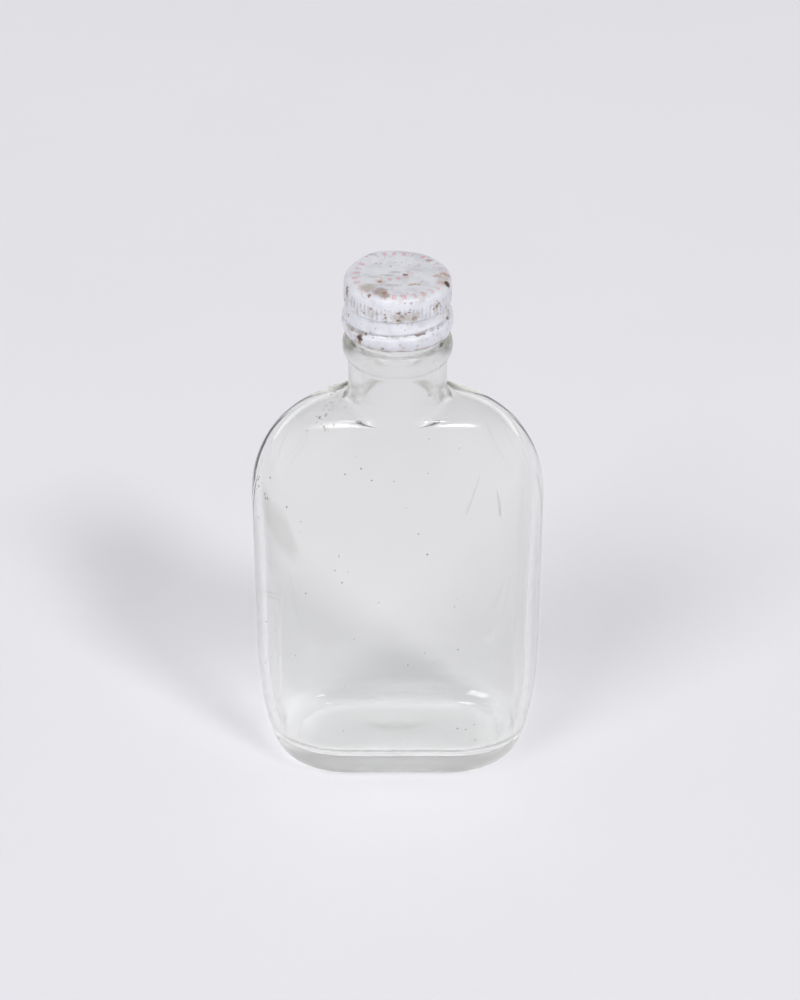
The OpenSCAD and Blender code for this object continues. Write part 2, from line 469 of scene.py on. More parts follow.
@dataclass(frozen=True)
class Lacquer:
    """White lacquer on tinplate: scuffed at its edges, rusty in spots, with faded red strokes, and with
    painted shade in the knurl valleys and the rolled groove.
    """

    white: Colour = (0.685, 0.69, 0.735)
    shade: Colour = (0.55, 0.56, 0.60)
    bare_tin: Colour = (0.33, 0.325, 0.32)
    grime_and_shade: Colour = (0.40, 0.375, 0.355)
    ink: Colour = (0.62, 0.16, 0.17)
    ring_centre: tuple[float, float] = (0.4, -0.9)
    ring_radius: float = 11.4
    ring_strokes: int = 28
    ring_stroke_half: float = 0.85
    arc_centre: tuple[float, float] = (-3.0, 5.5)
    arc_radius: float = 8.2
    arc_strokes: int = 24
    arc_stroke_half: float = 0.75
    spots: dict[Rust, tuple[Spot, ...]] = field(default_factory=lambda: {
        Rust.STAIN: (
            Spot.on_top(-5.6, -1.6, 1.5, 0.45, 0.5),
            Spot.on_top(-3.0, -0.6, 1.8, 0.5, 0.5),
            Spot.on_top(-1.0, -5.9, 2.2, 0.7, 0.5),
            Spot.on_top(-7.4, -7.2, 1.7, 1.6, 0.6),
        ),
        Rust.GREY: (
            Spot.on_top(-0.4, 1.1, 1.4, 0.45, 0.6),
            Spot.on_top(-6.9, 10.0, 1.2, 0.7, 0.6),
            Spot.on_top(8.2, 7.2, 1.5, 0.6, 0.7),
        ),
        Rust.HALO: (
            Spot.on_top(12.2, -3.6, 2.2, 2.4, 0.4),
            Spot.on_top(-7.6, -7.4, 2.4, 2.2, 0.5),
            Spot.on_top(-4.4, -4.0, 1.3, 1.2, 0.4),
            Spot.on_skirt(-135, 141.6, 1.5, 1.6, 0.5),
            Spot.on_skirt(-150, 142.6, 1.6, 1.2, 0.6),
            Spot.on_skirt(-158, 151.5, 1.2, 2.0, 0.6),
            Spot.on_skirt(-88, 149.4, 2.2, 1.5, 0.6),
            Spot.on_skirt(-74, 149.6, 1.8, 1.5, 0.6),
            Spot.on_skirt(-44, 150.4, 1.5, 1.4, 0.6),
            Spot.on_skirt(-18, 146.0, 1.6, 2.4, 0.6),
        ),
        Rust.TAN: (
            Spot.on_top(12.4, -0.2, 1.5, 0.9, 0.5),
            Spot.on_top(10.1, -1.2, 1.2, 0.6, 0.5),
            Spot.on_top(4.2, -5.7, 1.8, 0.6, 0.6),
            Spot.on_skirt(-157, 145.8, 0.6, 0.9, 0.5),
        ),
        Rust.DULL: (
            Spot.on_top(-4.3, -9.6, 1.8, 2.2, 0.14),
            Spot.on_top(-3.1, -11.6, 1.3, 1.1, 0.25),
            Spot.on_skirt(-146, 142.8, 0.7, 0.6, 0.6),
            Spot.on_skirt(-85, 149.8, 0.7, 0.5, 0.6),
            Spot.on_skirt(-72, 149.1, 0.8, 0.6, 0.6),
        ),
        Rust.BROWN: (
            Spot.on_top(-7.2, -11.0, 0.5, 0.5, 0.3),
            Spot.on_top(2.0, -0.4, 0.8, 0.5, 0.5),
            Spot.on_skirt(-158, 152.6, 0.7, 1.4, 0.6),
            Spot.on_skirt(-89, 150.8, 0.6, 0.35, 0.5),
            Spot.on_skirt(-89, 148.7, 0.6, 0.3, 0.5),
            Spot.on_skirt(-77, 150.9, 0.6, 0.25, 0.5),
            Spot.on_skirt(-44, 150.6, 0.6, 0.45, 0.5),
            Spot.on_skirt(-20, 144.4, 0.7, 0.5, 0.6),
            Spot.on_skirt(-15, 146.4, 0.6, 0.8, 0.7),
            Spot.on_skirt(-66, 143.8, 1.5, 0.22, 0.5),
            Spot.on_skirt(-106, 140.4, 0.6, 0.3, 0.5),
            Spot.on_skirt(150, 148.5, 1.0, 0.8, 0.6),
            Spot.on_skirt(95, 141.2, 1.2, 0.6, 0.6),
            Spot.on_skirt(40, 150.4, 0.9, 0.9, 0.6),
        ),
        Rust.ORANGE: (
            Spot.on_top(-4.5, -4.1, 0.6, 0.6, 0.2),
            Spot.on_top(-3.2, -10.5, 0.7, 0.6, 0.4),
            Spot.on_skirt(-133, 140.6, 0.6, 0.5, 0.5),
        ),
        Rust.DARK: (
            Spot.on_top(12.9, -4.1, 1.0, 1.1, 0.25),
            Spot.on_skirt(-132, 141.8, 1.0, 1.0, 0.2),
        ),
    })

    def material(self) -> bpy.types.Material:
        """The lacquer's material."""
        material, n, shader, where = new_material("white lacquer")
        # This mark is high at the worn rim, corner and hem, and also in the knurl valleys and the rolled
        # groove, where the bare tin grey and the grime below are painted shade.
        edge = n.node("Attribute", attribute_name="wear_and_shade").outputs["Fac"]
        cloud = n.noise(where, 260.0, 4.0)
        colour = n.blend(n.span(cloud, 0.35, 0.8), self.white, self.shade)
        colour = n.blend(n.math("MULTIPLY", self._strokes(n, where), 0.6), colour, self.ink)
        # Bare tin grey: real scuffs at the edges, painted shade in the knurl valleys and the rolled
        # groove.
        scuff_and_shade = n.use(Effect.SCUFF, Position=where, Edge=edge, Amount=0.62, Scale=900.0)
        colour = n.blend(n.math("MULTIPLY", scuff_and_shade, 0.4), colour, self.bare_tin)
        # Grime: dirt in patches, with painted shade over the knurled band, its valleys and the rolled
        # groove.
        dirt_and_shade = n.math("ADD", n.noise(where, 310.0, 6.0), n.math("MULTIPLY", edge, 0.24))
        colour = n.blend(n.math("MULTIPLY", n.span(dirt_and_shade, 0.56, 0.84), 0.62), colour, self.grime_and_shade)
        rusty = []
        for tone, spots in self.spots.items():
            mask = n.most(spot.mask(n, where) for spot in spots)
            deeper = tuple(0.55 * c for c in tone.colour)
            mottle = n.blend(n.noise(where, 2600.0, 5.0), tone.colour, deeper)
            colour = n.blend(n.math("MULTIPLY", mask, tone.strength), colour, mottle)
            if not tone.is_stain:
                rusty.append(mask)
        dots = n.use(Effect.SPECKS, Position=where, Scale=760.0, Size=0.36, Amount=0.6, Bunching=210.0)
        exposed = n.math("ADD", n.math("MULTIPLY", edge, 0.8), 0.3, clamp=True)
        freckles = n.math("MULTIPLY", dots, exposed)
        colour = n.blend(freckles, colour, Rust.BROWN.colour)
        hem = n.node("Attribute", attribute_name="hem").outputs["Fac"]
        rim = n.math("MULTIPLY", hem, n.span(n.noise(where, 330.0, 4.0), 0.42, 0.62))
        colour = n.blend(rim, colour, Rust.DULL.colour)
        n.feed(shader.inputs["Base Color"], colour)
        rust = n.most([*rusty, freckles, rim])
        n.feed(shader.inputs["Roughness"], n.slide(rust, n.slide(cloud, 0.26, 0.42), 0.85))
        bare = n.math("SUBTRACT", scuff_and_shade, rust, clamp=True)
        n.feed(shader.inputs["Metallic"], n.math("MULTIPLY", bare, 0.35))
        shader.inputs["Specular IOR Level"].default_value = 0.5
        height = n.use(Effect.GRAIN, Position=where, Scale=420.0, Fineness=6.0, Fine=0.45)
        pitted = n.math("MULTIPLY", rust, n.noise(where, 3200.0, 3.0))
        relief(n, shader, n.math("SUBTRACT", height, n.math("MULTIPLY", pitted, 1.6)), 0.09 * MM)
        return material

    def _strokes(self, n: Tree, where: Input) -> bpy.types.NodeSocket:
        """Mask of the printed strokes: a ring round the top and a short arc inside it."""
        ring = self._row(
            n, where, self.ring_centre, self.ring_radius, self.ring_strokes, self.ring_stroke_half
        )
        arc = self._row(
            n, where, self.arc_centre, self.arc_radius, self.arc_strokes, self.arc_stroke_half
        )
        split = n.node("SeparateXYZ")
        n.feed(split.inputs[0], where)
        low = n.span(split.outputs["Y"], 3.5 * MM, 1.0 * MM)
        right = n.span(split.outputs["X"], -6.0 * MM, -4.0 * MM)
        inside = n.math("MULTIPLY", low, right)
        reach = n.vector("LENGTH", n.vector("MULTIPLY", where, (1.0, 1.0, 0.0)))
        near = n.span(reach, 7.0 * MM, 6.0 * MM)
        arc = n.math("MULTIPLY", arc, n.math("MULTIPLY", inside, near))
        top = n.span(split.outputs["Z"], 153.2 * MM, 153.8 * MM)
        faded = n.span(n.noise(where, 330.0, 3.0), 0.64, 0.44)
        worn = n.math("MULTIPLY", faded, n.span(n.noise(where, 5200.0, 2.0), 0.36, 0.54))
        return n.math("MULTIPLY", n.math("MULTIPLY", n.most([ring, arc]), worn), top)

    @staticmethod
    def _row(
        n: Tree, where: Input, centre: tuple[float, float], radius: float, count: int, tall: float
    ) -> bpy.types.NodeSocket:
        """Mask of short strokes round a centre.

        Args:
            n: the tree to add to.
            where: Object coordinates.
            centre: middle of the row, in millimetres.
            radius: of the row, in millimetres.
            count: strokes in a whole turn.
            tall: half the length of a stroke, in millimetres.

        Returns:
            The mask.
        """
        local = n.vector("SUBTRACT", where, (centre[0] * MM, centre[1] * MM, 0.0))
        flat = n.vector("MULTIPLY", local, (1.0, 1.0, 0.0))
        split = n.node("SeparateXYZ")
        n.feed(split.inputs[0], flat)
        turn = n.math("ARCTAN2", split.outputs["Y"], split.outputs["X"])
        share = n.math("FRACT", n.math("MULTIPLY", n.math("ADD", turn, math.pi), count / math.tau))
        across = n.math("ABSOLUTE", n.math("SUBTRACT", share, 0.5))
        off = n.math("ABSOLUTE", n.math("SUBTRACT", n.vector("LENGTH", flat), radius * MM))
        body = n.span(off, (tall + 0.12) * MM, (tall - 0.12) * MM)
        return n.math("MULTIPLY", n.span(across, 0.27, 0.17), body)


@dataclass(frozen=True)
class Glass:
    """Clear, slightly green soda glass with dust, a few scratches and specks of rust on it, and painted
    shade in patches where its walls show dark refractions.
    """

    tint: Colour = (0.965, 0.97, 0.96)
    dirt: Colour = (0.30, 0.25, 0.19)
    ior: float = 1.5
    depth_tint: Colour = (0.905, 0.905, 0.875)
    depth_density: float = 19.0
    shadow: Colour = (0.69, 0.695, 0.70)
    foot_haze: float = 0.55
    foot_z: tuple[float, float] = (1.3, 0.9)
    neck_haze: float = 0.14
    neck_z: tuple[float, float] = (98.0, 113.0)
    collar_haze: float = 0.21
    collar_low_z: tuple[float, float] = (131.0, 132.0)
    collar_high_z: tuple[float, float] = (138.6, 137.6)
    # Painted shade: a darker glass colour for the patches where the walls show dark refractions.
    painted_refraction_tone: Colour = (0.85, 0.845, 0.82)
    scratch: Colour = (0.52, 0.51, 0.49)
    specks_of_rust: tuple[Spot, ...] = (
        Spot((-15.8, 2.5, 117.5), (1.6, 4.0, 1.6), 0.6),
        Spot((-19.0, -6.0, 114.5), (2.6, 5.0, 2.0), 0.8),
        Spot((-35.2, -10.3, 92.1), (1.2, 2.0, 1.4), 0.6),
        Spot((-38.0, -6.5, 95.0), (1.2, 3.0, 2.4), 0.8),
        Spot((34.2, -10.4, 94.6), (1.4, 2.0, 0.9), 0.6),
    )
    # Patches of painted shade, where the walls show dark refractions.
    painted_refractions: tuple[Spot, ...] = (
        Spot((-31.8, -13.6, 84.8), (3.4, 5.0, 10.5), 0.16, 25.0),
        Spot((-34.6, -11.6, 88.6), (1.8, 5.0, 7.0), 0.2, 12.0),
        Spot((20.3, -15.6, 96.8), (0.3, 3.0, 8.0), 0.35, -18.0),
    )
    scratches: tuple[Spot, ...] = (
        Spot((27.1, -14.5, 93.2), (0.2, 3.0, 3.9), 0.25, 9.0),
        Spot((27.4, -14.9, 90.9), (0.3, 3.0, 1.5), 0.3, 9.0),
        Spot((-35.7, -10.6, 60.9), (0.18, 6.0, 3.2), 0.2, -80.0),
        Spot((-36.4, -9.8, 61.8), (0.16, 6.0, 2.0), 0.2, -70.0),
    )

    def material(self) -> bpy.types.Material:
        """The glass material, which lets most of a lamp's light through."""
        material, n, shader, where = new_material("clear glass")
        dirt = n.use(Effect.SPECKS, Position=where, Scale=210.0, Size=0.075, Amount=0.55, Bunching=45.0)
        grit = n.use(Effect.SPECKS, Position=where, Scale=900.0, Size=0.42, Amount=0.9, Bunching=300.0)
        crumbs = n.math("MULTIPLY", n.most(s.mask(n, where) for s in self.specks_of_rust), grit)
        lines = n.most(s.mask(n, where) for s in self.scratches)
        # Painted shade over the dark refraction patches.
        refraction_mask = n.most(s.mask(n, where) for s in self.painted_refractions)
        with_refractions = n.blend(refraction_mask, self.tint, self.painted_refraction_tone)
        colour = n.blend(n.math("MULTIPLY", lines, 0.75), with_refractions, self.scratch)
        marks = n.most([dirt, crumbs])
        n.feed(shader.inputs["Base Color"], n.blend(marks, colour, self.dirt))
        haze = n.math("MULTIPLY", n.span(n.noise(where, 90.0, 5.0), 0.45, 0.8), 0.05)
        split = n.node("SeparateXYZ")
        n.feed(split.inputs[0], where)
        foot, neck, above, below = (
            n.span(split.outputs["Z"], start * MM, full * MM)
            for start, full in (self.foot_z, self.neck_z, self.collar_low_z, self.collar_high_z)
        )
        foot = n.math("MULTIPLY", foot, self.foot_haze)
        neck = n.math("MULTIPLY", neck, self.neck_haze)
        collar = n.math("MULTIPLY", n.math("MULTIPLY", above, below), self.collar_haze)
        n.feed(shader.inputs["Roughness"], n.slide(marks, n.most([haze, foot, neck, collar]), 0.7))
        shader.inputs["IOR"].default_value = self.ior
        shader.inputs["Transmission Weight"].default_value = 1.0
        wave = n.vector("MULTIPLY", where, (1.0, 1.0, 0.35))
        height = n.use(Effect.GRAIN, Position=wave, Scale=70.0, Fineness=4.0, Fine=0.12)
        relief(n, shader, height, 0.10 * MM)
        clear = n.node("BsdfTransparent")
        clear.inputs["Color"].default_value = (*self.shadow, 1.0)
        either = n.node("MixShader")
        n.feed(either.inputs[0], n.node("LightPath").outputs["Is Shadow Ray"])
        n.feed(either.inputs[1], shader.outputs[0])
        n.feed(either.inputs[2], clear.outputs[0])
        deep = n.node("VolumeAbsorption")
        deep.inputs["Color"].default_value = (*self.depth_tint, 1.0)
        deep.inputs["Density"].default_value = self.depth_density
        out = material.node_tree.nodes["Material Output"]
        n.feed(out.inputs["Surface"], either.outputs[0])
        n.feed(out.inputs["Volume"], deep.outputs[0])
        return material


@dataclass(frozen=True)
class Cork:
    """Pressed cork: warm brown grains with dark pores between them."""

    light: Colour = (0.52, 0.34, 0.18)
    dark: Colour = (0.26, 0.145, 0.07)
    pore: Colour = (0.07, 0.035, 0.02)

    def material(self) -> bpy.types.Material:
        """The cork's material."""
        material, n, shader, where = new_material("pressed cork")
        cells = n.node("TexVoronoi")
        n.feed(cells.inputs["Vector"], where)
        cells.inputs["Scale"].default_value = 900.0
        colour = n.blend(cells.outputs["Color"], self.light, self.dark)
        pores = n.use(Effect.SPECKS, Position=where, Scale=1300.0, Size=0.5, Amount=0.7, Bunching=500.0)
        n.feed(shader.inputs["Base Color"], n.blend(pores, colour, self.pore))
        n.feed(shader.inputs["Roughness"], n.slide(pores, 0.78, 0.95))
        height = n.use(Effect.GRAIN, Position=where, Scale=1100.0, Fineness=4.0, Fine=0.4)
        relief(n, shader, n.math("SUBTRACT", height, pores), 0.12 * MM)
        return material


@dataclass(frozen=True)
class WaxedPaper:
    """Waxed facing paper, stained in a ring where the mouth presses on it."""

    paper: Colour = (0.66, 0.61, 0.50)
    stain: Colour = (0.30, 0.19, 0.10)
    ring_radius: float = 10.8

    def material(self) -> bpy.types.Material:
        """The paper's material."""
        material, n, shader, where = new_material("waxed paper")
        fibres = n.vector("MULTIPLY", where, (1.0, 4.0, 1.0))
        colour = n.blend(n.noise(fibres, 700.0, 6.0), self.paper, tuple(0.8 * c for c in self.paper))
        reach = n.vector("LENGTH", n.vector("MULTIPLY", where, (1.0, 1.0, 0.0)))
        off = n.math("ABSOLUTE", n.math("SUBTRACT", reach, self.ring_radius * MM))
        worn = n.span(n.noise(where, 280.0), 0.35, 0.6)
        ring = n.math("MULTIPLY", n.span(off, 0.9 * MM, 0.2 * MM), worn)
        blot = Spot((3.0, -2.0, 153.2), (4.0, 3.0, 3.0), 0.7).mask(n, where)
        mask = n.most([ring, n.math("MULTIPLY", blot, 0.5)])
        n.feed(shader.inputs["Base Color"], n.blend(n.math("MULTIPLY", mask, 0.8), colour, self.stain))
        n.feed(shader.inputs["Roughness"], n.slide(mask, 0.42, 0.7))
        height = n.use(Effect.GRAIN, Position=fibres, Scale=500.0, Fineness=5.0, Fine=0.5)
        relief(n, shader, height, 0.05 * MM)
        return material


@dataclass(frozen=True)
class StudioPaper:
    """Plain pale paper for the floor."""

    tone: Colour = (0.815, 0.81, 0.845)

    def material(self) -> bpy.types.Material:
        """The paper's material."""
        material, n, shader, where = new_material("studio paper")
        low = tuple(0.965 * c for c in self.tone)
        n.feed(shader.inputs["Base Color"], n.blend(n.noise(where, 9.0, 5.0), self.tone, low))
        shader.inputs["Roughness"].default_value = 0.85
        shader.inputs["Specular IOR Level"].default_value = 0.2
        return material


# ---- the glass -----------------------------------------------------------------------------


@dataclass(frozen=True)
class Ring:
    """A level of the body: its height, half width and half depth, and how far it is an ellipse."""

    z: float
    a: float
    b: float
    blend: float = 0.0


@dataclass
class GlassBottle:
    """The bottle's glass: a flask-shaped body, a neck, a collar and a threaded finish."""

    half_w: float
    half_d: float
    mouth_z: float
    points_round: int = 192
    flat_steps: int = 10
    panel_share: float = 33 / 80
    end_power: float = 2.3
    end_spread: float = 1.3
    shoulder_z: float = 85 * MM
    shoulder_h: float = 32.5 * MM
    shoulder_power: float = 2.15
    slope_h: float = 45 * MM
    neck_blend: float = 3.2 * MM
    taper_h: float = 36 * MM
    taper_in: float = 9.4 * MM
    heel: float = 6 * MM
    rim_w: float = 4 * MM
    pushup_h: float = 0.8 * MM
    end_wall: float = 2.8 * MM
    panel_wall: float = 2.5 * MM
    shoulder_wall: float = 3 * MM
    base_t: float = 6 * MM
    neck_r: float = 13.1 * MM
    bore_r: float = 9.5 * MM
    collar_r: float = 14.55 * MM
    collar_h: float = 6 * MM
    root_r: float = 12.2 * MM
    lip_r: float = 0.9 * MM
    finish_h: float = 15.9 * MM
    thread_out: float = 0.85 * MM
    thread_w: float = 2 * MM
    pitch: float = 4.2 * MM
    thread_turns: float = 1.5
    thread_depth: float = 3.5 * MM
    thread_start: float = math.radians(64)
    thread_steps: int = 60
    seam_out: float = 0.09 * MM
    unevenness: float = 0.32 * MM
    floor_lift: float = 0.9 * MM

    def build(self, finish: Glass) -> bpy.types.Object:
        """Builds the glass and dresses it.

        Args:
            finish: the glass to dress it in.

        Returns:
            The piece.
        """
        skin = RingSkin(self.points_round)
        outer = (self.half_w - self.seam_out, self.half_d)
        for ring in [*self._underside(outer), *self._sides(outer, 0.0, self.neck_r)]:
            skin.add(lambda i, ring=ring: self._on_seam(i, self._plan(i, ring)))
        top_z = self.shoulder_z + self.shoulder_h
        for ring in self._shoulder(outer, self.neck_r, top_z):
            skin.add(lambda i, ring=ring: self._on_seam(i, self._plan(i, ring)))
        for radius, z in self._neck_outline():
            skin.add(lambda i, radius=radius, z=z: self._on_finish(i, radius, z))
        inner = (self.half_w - self.end_wall, self.half_d - self.panel_wall)
        inside = [
            *self._sides(inner, self.base_t, self.bore_r),
            *self._shoulder(inner, self.bore_r, top_z - self.shoulder_wall),
        ]
        inner_verts = []
        for ring in reversed(inside):
            inner_verts += skin.add(lambda i, ring=ring: self._plan(i, ring))
        low = inside[0]
        for share in (0.88, 0.7, 0.5, 0.3, 0.12):
            ring = Ring(low.z, low.a * share, low.b * share)
            inner_verts += skin.add(lambda i, ring=ring: self._plan(i, ring))
        self._make_uneven(skin.bm, inner_verts)
        piece = skin.finish("bottle_glass", "bottle", "glass", "glass_bottle")
        piece.data.materials.append(finish.material())
        return piece

    @property
    def neck_z(self) -> float:
        """Height at which the plain neck begins."""
        return self.shoulder_z + self.shoulder_h + self.neck_blend

    def _end_x(self, z: float, half: float) -> float:
        """Half width below the shoulder: the ends are drawn in towards the base."""
        if z >= self.taper_h:
            return half
        return half - self.taper_in * (1.0 - math.sqrt(1.0 - (1.0 - z / self.taper_h) ** 2))

    def _panel_y(self, z: float, half: float, top_r: float) -> float:
        """Half depth, which slopes in to the neck's radius."""
        return mix(half, top_r, smooth((z - self.neck_z + self.slope_h) / self.slope_h))

    def _underside(self, half: tuple[float, float]) -> list[Ring]:
        """The hollow under the base and the rim that the bottle stands on."""
        rim = tuple(h - self.heel - self.rim_w for h in (self._end_x(0.0, half[0]), half[1]))
        rings = [
            Ring(self.pushup_h * (1.0 - smooth(share)), rim[0] * share, rim[1] * share)
            for share in unit_steps(14)
        ]
        middle = self.rim_w / 2
        return [*rings, Ring(0.0, rim[0] + middle, rim[1] + middle)]

    def _sides(self, half: tuple[float, float], floor: float, top_r: float) -> list[Ring]:
        """The heel, the drawn-in ends and the straight sides, up to the shoulder."""
        rings = []
        for k in range(13):
            turn = math.pi / 2 * k / 12
            z = floor + self.heel * (1.0 - math.cos(turn))
            drawn = self.heel * (1.0 - math.sin(turn))
            rings.append(Ring(z, self._end_x(z, half[0]) - drawn, half[1] - drawn))
        for share in unit_steps(22):
            z = mix(floor + self.heel, self.taper_h, share)
            rings.append(Ring(z, self._end_x(z, half[0]), self._panel_y(z, half[1], top_r)))
        for share in unit_steps(22):
            z = mix(self.taper_h, self.shoulder_z, share)
            rings.append(Ring(z, half[0], self._panel_y(z, half[1], top_r)))
        return rings

    def _shoulder(self, half: tuple[float, float], top_r: float, top_z: float) -> list[Ring]:
        """The shoulder and its blend into a tube of radius top_r."""
        blend_r = self.neck_z - top_z
        rings = []
        for share in unit_steps(40):
            turn = math.pi / 2 * share
            rise = power_arc(math.sin(turn), self.shoulder_power)
            z = mix(self.shoulder_z, top_z, rise)
            a = mix(top_r + blend_r, half[0], power_arc(math.cos(turn), self.shoulder_power))
            rings.append(Ring(z, a, self._panel_y(z, half[1], top_r), smooth(rise)))
        for share in unit_steps(10):
            turn = math.pi / 2 * share
            z = top_z + blend_r * (1.0 - math.cos(turn))
            a = top_r + blend_r * (1.0 - math.sin(turn))
            rings.append(Ring(z, a, self._panel_y(z, half[1], top_r), 1.0))
        return rings

    def _neck_outline(self) -> list[tuple[float, float]]:
        """Radius and height along the neck, the collar, the finish, the mouth and the bore."""
        collar_z = self.mouth_z - self.finish_h - self.collar_h
        half_h = self.collar_h / 2
        out = self.collar_r - self.neck_r
        points = [(self.neck_r, mix(self.neck_z, collar_z, share)) for share in unit_steps(8)]
        for k in range(1, 23):
            turn = math.radians(mix(-90, 62, k / 22))
            points.append((self.neck_r + out * math.cos(turn), collar_z + half_h * (1 + math.sin(turn))))
        foot_z = collar_z + self.collar_h
        edge_r, edge_z = points[-1]
        points.append((mix(edge_r, self.root_r, 0.5), mix(edge_z, foot_z, 0.75)))
        points.append((self.root_r + 0.25 * MM, foot_z + 0.02 * MM))
        points.append((self.root_r, foot_z + 0.25 * MM))
        lip_z = self.mouth_z - self.lip_r
        for share in unit_steps(self.thread_steps):
            points.append((self.root_r, mix(foot_z + 0.25 * MM, lip_z, share)))
        for centre, first in ((self.root_r - self.lip_r, 0.0), (self.bore_r + self.lip_r, 90.0)):
            for k in range(1, 9):
                turn = math.radians(first + 90.0 * k / 8)
                radius = centre + self.lip_r * math.cos(turn)
                points.append((radius, lip_z + self.lip_r * math.sin(turn)))
        for share in unit_steps(14):
            points.append((self.bore_r, mix(lip_z, self.neck_z + 0.5 * MM, share)))
        return points

    def _plan(self, i: int, ring: Ring) -> Vector:
        """One point of a ring: a flat panel between two rounded ends, or an ellipse."""
        quarter = self.points_round // 4
        arc_steps = quarter - self.flat_steps
        turn = math.tau * i / self.points_round
        from_end = quarter - abs(i % (2 * quarter) - quarter)
        flat_x = self.panel_share * ring.a
        if from_end >= arc_steps:
            x, y = flat_x * (quarter - from_end) / self.flat_steps, ring.b
        else:
            corner = math.pi / 2 * (from_end / arc_steps) ** self.end_spread
            x = flat_x + (ring.a - flat_x) * power_arc(math.cos(corner), self.end_power)
            y = ring.b * power_arc(math.sin(corner), self.end_power)
        square = Vector((math.copysign(x, math.cos(turn)), math.copysign(y, math.sin(turn)), ring.z))
        oval = Vector((ring.a * math.cos(turn), ring.b * math.sin(turn), ring.z))
        return square.lerp(oval, ring.blend)

    def _on_seam(self, i: int, point: Vector) -> Vector:
        """Lifts a point that lies on one of the two mould seams, at the ends of the body."""
        if i % (self.points_round // 2) == 0 and point.z > self.heel / 2:
            point.x += math.copysign(self.seam_out, point.x)
        return point

    def _on_finish(self, i: int, radius: float, z: float) -> Vector:
        """A point of the neck, with the screw thread standing out of its root."""
        turn = math.tau * i / self.points_round
        if abs(radius - self.root_r) < 1e-7:
            radius += self.thread_out * self._thread(turn, z)
        return polar(radius, turn, z)

    def _thread(self, turn: float, z: float) -> float:
        """How high the thread stands in a direction and at a height, from 0 to 1."""
        start_z = self.mouth_z - self.thread_depth - self.pitch * self.thread_turns
        first = (turn - self.thread_start) % math.tau / math.tau
        height = 0.0
        for whole in range(math.ceil(self.thread_turns)):
            at = first + whole
            ends = smooth(min(at, self.thread_turns - at) / 0.09 + 0.1)
            off = abs(z - start_z - self.pitch * at)
            flank = smooth((self.thread_w / 2 - off) / (self.thread_w * 0.3))
            height = max(height, ends * flank)
        return height

    def _make_uneven(self, bm: bmesh.types.BMesh, verts: list[bmesh.types.BMVert]) -> None:
        """Moves the inside surface in and out, as glass that was blown against air has it.

        Args:
            bm: the bottle's mesh.
            verts: the points of its inside.
        """
        bm.normal_update()
        moves = []
        for vert in verts:
            x, y, z = vert.co
            flow = noise.noise(Vector((x * 75, y * 75, z * 22)))
            slow = noise.noise(Vector((x * 24 + 5, y * 24, z * 12)))
            below_neck = 1.0 - smooth((z - 108 * MM) / (16 * MM))
            near_floor = 1.0 - smooth((z - self.base_t) / (9 * MM))
            lift = near_floor * self.floor_lift * (slow - x / self.half_w * 0.55)
            wave = self.unevenness * (flow + 1.2 * slow) * below_neck * (1.0 - near_floor)
            moves.append(vert.normal * wave + Vector((0.0, 0.0, lift)))
        for vert, move in zip(verts, moves):
            vert.co += move


# ---- the cap -------------------------------------------------------------------------------


